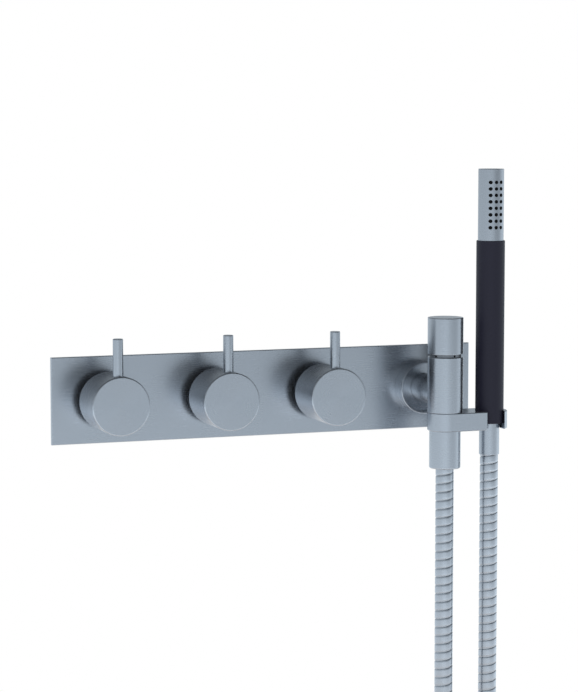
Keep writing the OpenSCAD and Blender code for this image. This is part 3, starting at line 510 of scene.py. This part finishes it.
# Rosette and neck of the hand-shower outlet. The rosette is a turned steel cup with a thin rim, slid
# over the neck to the plate; the neck is a steel tube screwed into the body.
low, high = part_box("outlet_rosette")
centre = (low + high) / 2
outlet_steel = metal("outlet_steel", steel_colour, steel_roughness, turned_grain(centre, "Y"))
paint(outlet_steel, "neck_tube")
radius = (high.z - low.z) / 2
rosette_rim = 0.0014
rosette_recess = 0.003
rosette_round = 0.0005
neck_radius = 0.010
bore = neck_radius + fit
ring_thickness = 0.0012
inner = radius - rosette_rim
recess_y = low.y + rosette_recess
pocket_y = high.y - ring_thickness - fit
pocket = bore + ring_thickness
corners = [
    (centre.y, bore), (recess_y, bore), (recess_y, inner), (low.y, inner), (low.y, radius),
    (high.y, radius), (high.y, pocket), (pocket_y, pocket), (pocket_y, bore), (centre.y, bore),
]
sizes = [
    fine_edge, 2 * fine_edge, 2 * fine_edge, rosette_round, fine_edge, fine_edge, fine_edge,
    fine_edge,
]
rosette = object_of(turned("turned_rosette", corners, sizes, centre, "Y"), outlet_steel)
stands_for(rosette, "root", "outlet_rosette")


# Column and its cap. Two turned steel cylinders on one axis, with a recessed ring between them whose
# small holes let air in; the lower one is bored for the neck, the float and the check valve. The
# ring's turned skin stays dull, because the brushing of the column doesn't reach it, and its colour is
# painted at half the steel's brightness as painted shade inside its recess.
low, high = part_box("column_body")
column = (low + high) / 2
column_steel = metal("column_steel", steel_colour, steel_roughness, turned_grain(column, "Z"))
# The ring's colour is the steel's at half brightness: painted shade inside the ring's recess.
ring_painted_shade = 0.5
painted_shade_ring_colour = [ring_painted_shade * share for share in steel_colour]
ring_roughness = 0.45
paint(metal("painted_shade_ring_steel", painted_shade_ring_colour, ring_roughness, turned_grain(column, "Z")), "air_ring")
column_radius = (high.x - low.x) / 2
column_edge = 0.0003
seam_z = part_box("holder_arm")[1].z
spigot_radius = 0.009
water_bore = 0.005
check_radius, check_top_z = 0.0065, -0.017
check_bore = check_radius + fit
main_bore, main_low_z = 0.007, -0.010
ring_spigot, upper_low_z = 0.009, 0.012
upper_bore = ring_spigot + fit
web_z = (check_top_z + main_low_z) / 2
corners = [
    (web_z, water_bore), (check_top_z, water_bore), (check_top_z, check_bore), (low.z, check_bore),
    (low.z, spigot_radius), (seam_z, spigot_radius), (seam_z, column_radius),
    (high.z, column_radius), (high.z, upper_bore), (upper_low_z, upper_bore),
    (upper_low_z, main_bore), (main_low_z, main_bore), (main_low_z, water_bore),
    (web_z, water_bore),
]
sizes = [fine_edge] * 5 + [column_edge] * 2 + [fine_edge] * 5
column_piece = object_of(turned("turned_column", corners, sizes, column, "Z"))
neck_spigot = 0.007
neck_hole = neck_spigot + fit
past_wall_share = 1.2
behind = column.y + past_wall_share * column_radius
corners = [(column.y, 0), (column.y, neck_hole), (behind, neck_hole), (behind, 0)]
drill = object_of(turned("drill", corners, [drill_edge] * 2, (column.x, 0, 0), "Y", drill_sides))
cut_away(column_piece, drill, column_steel)
stands_for(column_piece, "root", "column_body")

low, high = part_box("column_cap")
cap_round = 0.0005
cap_roof = 0.004
cap_chamber = 0.008
roof_z = high.z - cap_roof
ring_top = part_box("air_ring")[1].z + fit
corners = [
    (roof_z, 0), (roof_z, cap_chamber), (ring_top, cap_chamber), (ring_top, upper_bore),
    (low.z, upper_bore), (low.z, column_radius), (high.z, column_radius), (high.z, 0),
]
sizes = [fine_edge, fine_edge, fine_edge, fine_edge, column_edge, cap_round]
cap = object_of(turned("turned_cap", corners, sizes, column, "Z"), column_steel)
stands_for(cap, "root", "column_cap")


# Float, check valve and filter. Small white acetal parts moulded for the vacuum breaker and the
# check valve, with the slight gloss and the faint flow marks of an engineering plastic.
def moulded_white():
    """Off-white with soft flow marks."""
    material, tree, shader, place = new_finish("moulded_white", 0.0)
    flow = noise(tree, place, 240.0, 3.0)
    colour = mix_colours(tree, flow, (0.78, 0.78, 0.75), (0.84, 0.84, 0.82))
    tree.links.new(colour, shader.inputs["Base Color"])
    tree.links.new(spread(tree, flow, 0.32, 0.42), shader.inputs["Roughness"])
    dent(tree, shader, noise(tree, place, 2200.0), 0.000008)
    return material


paint(
    moulded_white(), "vacuum_float", "check_valve_housing", "check_valve_poppet", "flow_filter"
)
low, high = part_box("check_valve_spring")
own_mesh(nodes["check_valve_spring"])


# Holder arm. Machined from one steel bar: a ring that swivels round the column's spigot, a flat
# sided bar, and a seat with a slot for the hose to pass through.
arm_steel = metal("arm_steel", steel_colour, steel_roughness, straight_grain("X"))
paint(arm_steel, "holder_arm")


# Outlet sleeve. Turned steel, screwed on the column's spigot under the arm, which it carries; the
# hose's threaded tail goes into it from below.
low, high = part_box("outlet_sleeve")
radius = (high.x - low.x) / 2
sleeve_round = 0.0008
web_hole = 0.006
tail_radius = 0.008
tail_hole = tail_radius + fit
spigot_hole = spigot_radius + fit
web_low, web_high = -0.0395, -0.0375
web_z = (web_low + web_high) / 2
corners = [
    (web_z, web_hole), (web_low, web_hole), (web_low, tail_hole), (low.z, tail_hole),
    (low.z, radius), (high.z, radius), (high.z, spigot_hole), (web_high, spigot_hole),
    (web_high, web_hole), (web_z, web_hole),
]
sizes = [fine_edge, fine_edge, 2 * fine_edge, sleeve_round, column_edge] + [fine_edge] * 3
sleeve = object_of(turned("turned_sleeve", corners, sizes, column, "Z"), column_steel)
stands_for(sleeve, "root", "outlet_sleeve")


# Hose. A strip of steel wound round and round and hooked into its own edge, so that it bends: each
# turn shows as a wide smooth band with a narrow dark groove that climbs to the right. A threaded
# tail and a smooth ferrule are crimped on its ends.
hose_y = -0.050
route_mm = [
    (116, -44), (116, -80), (116, -130), (116, -180), (116, -230), (115, -270), (111, -310),
    (105, -350), (98, -390), (90, -430), (83, -470), (78, -510), (77, -550), (84, -584),
    (104, -609), (133, -618), (162, -609), (182, -584), (189, -550), (188, -510), (183, -470),
    (176, -430), (168, -390), (161, -350), (155, -310), (151, -270), (150, -230), (150, -180),
    (150, -130), (150, -80), (150, -38),
]
low_point = 15
route_steps = 40
hose_radius = 0.0064
hose_bore = 0.004
turn_length = 0.006008
winding_start = 0.255
hose_sides = 36


def smooth_route(points):
    """
    A smooth curve through points: between b and c, with a before and d after them, it runs as
    b + (c-a)t/2 + (2a-5b+4c-d)t^2/2 + (3b-a-3c+d)t^3/2 for t from 0 to 1.
    """
    points = np.vstack([2 * points[0] - points[1], points, 2 * points[-1] - points[-2]])
    a, b, c, d = (points[i : len(points) - 3 + i, None] for i in range(4))
    t = np.linspace(0, 1, route_steps, endpoint=False)[None, :, None]
    square = (2 * a - 5 * b + 4 * c - d) * t**2 / 2
    cube = (3 * b - a - 3 * c + d) * t**3 / 2
    curve = b + (c - a) * t / 2 + square + cube
    return np.vstack([curve.reshape(-1, 3), points[-2]])


curve = smooth_route(np.array([(x / 1000, hose_y, z / 1000) for x, z in route_mm]))
lengths = np.concatenate([[0], np.cumsum(np.linalg.norm(np.diff(curve, axis=0), axis=1))])


def along_route(s):
    """The curve's points at distances s from its start."""
    return np.stack([np.interp(s, lengths, curve[:, i]) for i in range(3)], axis=-1)


def hose_points(s, angle, radius):
    """
    Points of the hose at distance s along the route: route + radius * (cos angle * out + sin angle *
    side), side being at right angles to the loop's plane and out at right angles to it and the route.
    """
    probe = 0.0005
    direction = along_route(s + probe) - along_route(s - probe)
    direction /= np.linalg.norm(direction, axis=-1, keepdims=True)
    side = np.array([0.0, 1.0, 0.0])
    out = np.cross(side, direction)
    round_it = np.cos(angle)[..., None] * out + np.sin(angle)[..., None] * side
    return along_route(s) + radius[..., None] * round_it


def hose_run(name, first, last, finish):
    """
    A run of hose between two distances. Its rows follow the wound strip: a point lies at s = turn
    length * (turn + winding start + share of the band + angle / a full turn), so a row's end is the
    start of the row one turn on, and its radius is the hose's less the band's depth at that share. At
    the run's ends the band is cut square, and a plain bore joins the two flat ends.
    """
    band_share = np.array([0.0, 0.06, 0.075, 0.12, 0.30, 0.62, 0.88, 0.955, 0.985])
    band_depth = np.array([0.50, 0.50, 0.12, 0.03, 0.00, 0.0, 0.01, 0.04, 0.12]) / 1000
    fade = 0.0012
    bore_rings = 160
    angle = np.linspace(0, 2 * np.pi, hose_sides + 1)
    turns = np.arange(int(first / turn_length) - 2, int(last / turn_length) + 2)
    starts = (turns[:, None] + winding_start + band_share).ravel()
    depth = np.tile(band_depth, len(turns))[:, None]
    s = np.clip(turn_length * (starts[:, None] + angle / (2 * np.pi)), first, last)
    ends = np.clip(np.minimum(s - first, last - s) / fade, 0, 1)
    radius = hose_radius - depth * ends
    bore_s = np.concatenate([[first], np.linspace(first, last, bore_rings), [last]])[:, None]
    bore_radius = np.full((bore_rings + 2, 1), hose_bore)
    bore_radius[[0, -1]] = hose_radius
    band_rows = len(s)
    s = np.concatenate([s, bore_s + 0 * angle])
    radius = np.concatenate([radius, bore_radius + 0 * angle])
    angle = angle + 0 * s
    lay = np.stack([radius * np.cos(angle), radius * np.sin(angle), s], axis=-1)
    columns = hose_sides + 1
    faces = np.concatenate(
        [
            grid_faces(band_rows, columns),
            grid_faces(bore_rings + 2, columns, band_rows * columns),
        ]
    )
    return object_of(closed_mesh(name, hose_points(s, angle, radius), faces, lay), finish)


hose_steel = metal(
    "hose_steel", steel_colour, steel_roughness, turned_grain((0, 0, 0), "Z"), attribute="lay"
)
low_s = lengths[low_point * route_steps]
outlet_run = hose_run("wound_hose_outlet", 0.0, low_s, hose_steel)
handset_run = hose_run("wound_hose_handset", low_s, lengths[-1], hose_steel)
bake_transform(outlet_run)
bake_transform(handset_run)
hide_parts("hose_outlet_run")
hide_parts("hose_handset_run")
paint(column_steel, "hose_tail")

low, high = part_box("hose_ferrule")
handset = (low + high) / 2
seat_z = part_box("handset_grip")[0].z
handset_steel = metal("handset_steel", steel_colour, steel_roughness, turned_grain(handset, "Z"))
radius = (high.x - low.x) / 2
ferrule_round = 0.0004
socket_depth, ring_height = 0.0065, 0.006
socket_hole, socket_z = hose_radius + fit, low.z + socket_depth
spigot, bore = 0.005, 0.003
groove, groove_half, ring_z = 0.0042, 0.00045, seat_z + ring_height
corners = [
    (seat_z, bore), (socket_z, bore), (socket_z, socket_hole), (low.z, socket_hole),
    (low.z, radius), (seat_z, radius), (seat_z, spigot), (ring_z - groove_half, spigot),
    (ring_z - groove_half, groove), (ring_z + groove_half, groove), (ring_z + groove_half, spigot),
    (high.z, spigot), (high.z, bore), (seat_z, bore),
]
sizes = [fine_edge, fine_edge, fine_edge, ferrule_round, fine_edge] + [0.5 * fine_edge] * 7
ferrule = object_of(turned("turned_ferrule", corners, sizes, handset, "Z"), handset_steel)
stands_for(ferrule, "hose_end", "hose_ferrule")


# Handset. A steel tube with a turned plug in each end, a soft black sleeve to hold it by, and three
# rows of small rubber nozzles that look out through holes in its front.
paint(handset_steel, "handset_tube", "handset_connector")
low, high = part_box("head_cap")
radius = (high.x - low.x) / 2
cap_lip, plug = 0.001, 0.00745
plug_z = high.z - cap_lip
cap_edge, lip_edge = 0.0003, 0.00002
corners = [(low.z, 0), (low.z, plug), (plug_z, plug), (plug_z, radius), (high.z, radius), (high.z, 0)]
sizes = [fine_edge, fine_edge, lip_edge, cap_edge]
head = object_of(turned("turned_head_cap", corners, sizes, handset, "Z"), handset_steel)
stands_for(head, "handset", "head_cap")

low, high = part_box("handset_grip")
outer, bore = (high.x - low.x) / 2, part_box("handset_tube")[1].x - handset.x + fit
grip_round = 0.0004
grip_z = (low.z + high.z) / 2
corners = [
    (grip_z, bore), (low.z, bore), (low.z, outer), (high.z, outer), (high.z, bore), (grip_z, bore),
]
sizes = [fine_edge, grip_round, grip_round, fine_edge]
grip_rubber = rubber("grip_rubber", (0.010, 0.010, 0.022), 0.5, 3000.0, 0.00001, 0.3)
grip = object_of(turned("soft_grip", corners, sizes, handset, "Z"), grip_rubber)
stands_for(grip, "handset", "handset_grip")
nozzle_rubber = rubber("nozzle_rubber", (0.001, 0.001, 0.0015), 0.6, 3000.0, 0.00001, 0.15)
paint(nozzle_rubber, "nozzle_insert")


def nozzle_tips():
    """
    The nozzles' soft tips, each standing a little over the tube's curve: a point at (r, a) from a
    nozzle's middle lies at x = r cos a, z = r sin a and depth = sqrt(R^2 - x^2) plus its height, which
    falls in a round shoulder to the rim and dips for the spray hole. A wall goes down to a floor.
    """
    rows, columns = 8, 3
    row_pitch, column_pitch = 0.0045, 0.0040
    tip, height, dimple, root = 0.00128, 0.00025, 0.0004, 0.0012
    low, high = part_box("handset_tube")
    tube = (high.x - low.x) / 2
    middle_z = (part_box("handset_grip")[1].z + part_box("head_cap")[1].z) / 2
    ring = tip * np.array([0, 0.2, 0.3, 0.4, 0.75, 0.9, 0.97, 1, 0.9, 0.9, 0])[:, None]
    over = height * np.array([1, 1, 1, 1, 1, 0.85, 0.6, 0.2, -0.1, 0, 0])[:, None]
    over[:2] -= dimple
    angle = np.linspace(0, 2 * np.pi, 25)
    x, z = ring * np.cos(angle), ring * np.sin(angle)
    points, faces = [], []
    for row in range(rows):
        for column in range(columns):
            x_at = (column - (columns - 1) / 2) * column_pitch
            z_at = middle_z + (row - (rows - 1) / 2) * row_pitch
            depth = np.sqrt(tube**2 - (x_at + x) ** 2) + over
            depth[-2:] = np.sqrt(tube**2 - x_at**2) - root
            y = handset.y - depth
            faces.append(grid_faces(*x.shape, len(points) * x.size))
            points.append(np.stack([handset.x + x_at + x, y, z_at + z], axis=-1).reshape(-1, 3))
    return closed_mesh("nozzle_tips", np.concatenate(points), np.concatenate(faces))


tips = object_of(nozzle_tips(), nozzle_rubber)
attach(tips, "handset")


# Studio. A white floor under the mixer, the soft light of a white room with a darker ceiling, and
# one wide lamp in front and above, which metal doesn't mirror.
def disc_mesh(name, z, radii, sides=96):
    """A flat disc: rings of points at the radii, joined by quads, at height z."""
    angle = np.linspace(0, 2 * np.pi, sides + 1)
    points = np.empty((len(radii), sides + 1, 3))
    points[..., 0] = np.outer(radii, np.cos(angle))
    points[..., 1] = np.outer(radii, np.sin(angle))
    points[..., 2] = z
    mesh = bpy.data.meshes.new(name)
    mesh.from_pydata(points.reshape(-1, 3).tolist(), [], grid_faces(*points.shape[:2]).tolist())
    return mesh


def seen_directly(tree):
    """1 for rays from the camera, from a mirror or through glass, 0 for rays that only light."""
    path = add(tree, "ShaderNodeLightPath")
    camera_or_mirror = calculate(
        tree, "ADD", path.outputs["Is Camera Ray"], path.outputs["Is Glossy Ray"]
    )
    return calculate(tree, "ADD", camera_or_mirror, path.outputs["Is Transmission Ray"])


def white_floor():
    """Matt white that takes a half shadow near the mixer and fades to plain white further out."""
    shadow_reach, white_from = 1.0, 1.3
    material = bpy.data.materials.new("white_floor")
    material.use_nodes = True
    tree = material.node_tree
    tree.nodes.clear()
    place = add(tree, "ShaderNodeTexCoord").outputs["Object"]
    flat = add(tree, "ShaderNodeVectorMath", {0: place, 1: (1, 1, 0)}, operation="MULTIPLY")
    radius = add(tree, "ShaderNodeVectorMath", {0: flat.outputs[0]}, operation="LENGTH")
    inputs = {
        "Value": radius.outputs["Value"], "From Min": shadow_reach, "From Max": white_from,
        "To Min": 0.5, "To Max": 1.0,
    }
    share = add(tree, "ShaderNodeMapRange", inputs, interpolation_type="SMOOTHSTEP")
    factor = calculate(tree, "MULTIPLY", share.outputs["Result"], seen_directly(tree))
    matt = add(tree, "ShaderNodeBsdfDiffuse", {"Color": (0.9, 0.9, 0.9, 1)})
    plain = add(tree, "ShaderNodeEmission", {"Color": (1, 1, 1, 1), "Strength": 1.0})
    mix = add(
        tree, "ShaderNodeMixShader", {0: factor, 1: matt.outputs[0], 2: plain.outputs[0]}
    )
    output = add(tree, "ShaderNodeOutputMaterial")
    tree.links.new(mix.outputs[0], output.inputs["Surface"])
    return material


floor_z = -0.66
floor = object_of(disc_mesh("floor", floor_z, np.array([0, 0.5, 1.0, 1.3, 1.6])), white_floor())


def white_room():
    """
    A white room: what lights the mixer is even, and what metal mirrors is white below the horizon and
    dims towards a dark ceiling. The ramp runs over height and holds two levels for each elevation: the
    one all round, and what a sunlit floor adds in front. A pale wall stands on the right, and a
    darker corner between it and the camera. The daylight in it is a little blue.
    """
    even_light = 0.75
    daylight = (0.9, 1.0, 1.08, 1)
    levels = (
        (-90, 1.0, 0), (-30, 1.05, 0), (-18, 1.35, 0.55), (-8, 0.9, 0), (2, 0.58, 0),
        (14, 0.5, 0), (35, 0.13, 0), (90, 0.17, 0),
    )
    pale_wall = (90, -8, 45, 0.2)
    dark_corner = (140, 12, 60, -0.24)
    world = bpy.data.worlds.new("white_room")
    world.use_nodes = True
    tree = world.node_tree
    tree.nodes.clear()
    place = add(tree, "ShaderNodeTexCoord").outputs["Generated"]
    split = add(tree, "ShaderNodeSeparateXYZ", {"Vector": place})

    def ease(value, low, high, most):
        inputs = {"Value": value, "From Min": low, "From Max": high, "To Min": 0.0, "To Max": most}
        made = add(tree, "ShaderNodeMapRange", inputs, interpolation_type="SMOOTHSTEP")
        return made.outputs["Result"]

    def patch(azimuth, elevation, width, most):
        azimuth, elevation = np.radians((azimuth, elevation))
        flat = np.cos(elevation)
        toward = (np.sin(azimuth) * flat, np.cos(azimuth) * flat, np.sin(elevation))
        facing = add(tree, "ShaderNodeVectorMath", {0: place, 1: toward}, operation="DOT_PRODUCT")
        return ease(facing.outputs["Value"], float(np.cos(np.radians(width))), 1.0, most)

    inputs = {"Value": split.outputs["Z"], "From Min": -1.0, "From Max": 1.0}
    height = add(tree, "ShaderNodeMapRange", inputs).outputs["Result"]
    ramp = add(tree, "ShaderNodeValToRGB", {"Fac": height})
    stops = ramp.color_ramp.elements
    for index, (elevation, all_round, front) in enumerate(levels):
        position = (1 + np.sin(np.radians(elevation))) / 2
        stop = stops[index] if index < 2 else stops.new(position)
        stop.position = position
        stop.color = (all_round, front, 0, 1)
    level = add(tree, "ShaderNodeSeparateColor", {"Color": ramp.outputs["Color"]}).outputs
    in_front = calculate(
        tree, "MULTIPLY", level["Green"], ease(split.outputs["Y"], -0.3, -1.0, 1.0)
    )
    mirrored = calculate(tree, "ADD", level["Red"], in_front)
    for most in (patch(*pale_wall), patch(*dark_corner)):
        mirrored = calculate(tree, "ADD", mirrored, most)
    path = add(tree, "ShaderNodeLightPath")
    inputs = {"Factor": path.outputs["Is Glossy Ray"], "A": 1.0, "B": mirrored}
    shown = add(tree, "ShaderNodeMix", inputs).outputs[0]
    inputs = {"Factor": seen_directly(tree), "A": even_light, "B": shown}
    strength = add(tree, "ShaderNodeMix", inputs).outputs[0]
    tint = add(tree, "ShaderNodeMix", {"Factor": path.outputs["Is Glossy Ray"]}, data_type="RGBA")
    tint.inputs[6].default_value = (1, 1, 1, 1)
    tint.inputs[7].default_value = daylight
    background = add(
        tree, "ShaderNodeBackground", {"Color": tint.outputs[2], "Strength": strength}
    )
    output = add(tree, "ShaderNodeOutputWorld")
    tree.links.new(background.outputs[0], output.inputs["Surface"])
    return world


bpy.context.scene.world = white_room()
lamp_data = bpy.data.lights.new("wide_lamp", "AREA")
lamp_data.shape = "DISK"
lamp_data.size = 1.6
lamp_data.energy = 12
lamp = bpy.data.objects.new("wide_lamp", lamp_data)
lamp.location = (-0.9, -1.6, 1.7)
lamp.rotation_euler = (np.radians(43), 0, np.radians(-29))
lamp.visible_glossy = False
bpy.context.scene.collection.objects.link(lamp)


# Camera, at the photograph's viewing angle: its place, its turn to the right and its tilt down were
# solved from the plate's corners and the knobs' rims.
photo_height_px = 692
photo_focal_px = 2455.66
camera_yaw = np.radians(20.02)
camera_pitch = np.radians(5.71)
camera_data = bpy.data.cameras.new("photo_camera")
camera_data.sensor_width = 36
camera_data.lens = camera_data.sensor_width * photo_focal_px / photo_height_px
camera_data.clip_start = 0.05
camera = bpy.data.objects.new("photo_camera", camera_data)
camera.location = (-0.57096, -1.61614, 0.20394)
camera.rotation_euler = (np.pi / 2 - camera_pitch, 0, -camera_yaw)
bpy.context.scene.collection.objects.link(camera)
bpy.context.scene.camera = camera
bpy.context.scene.view_settings.view_transform = "Standard"
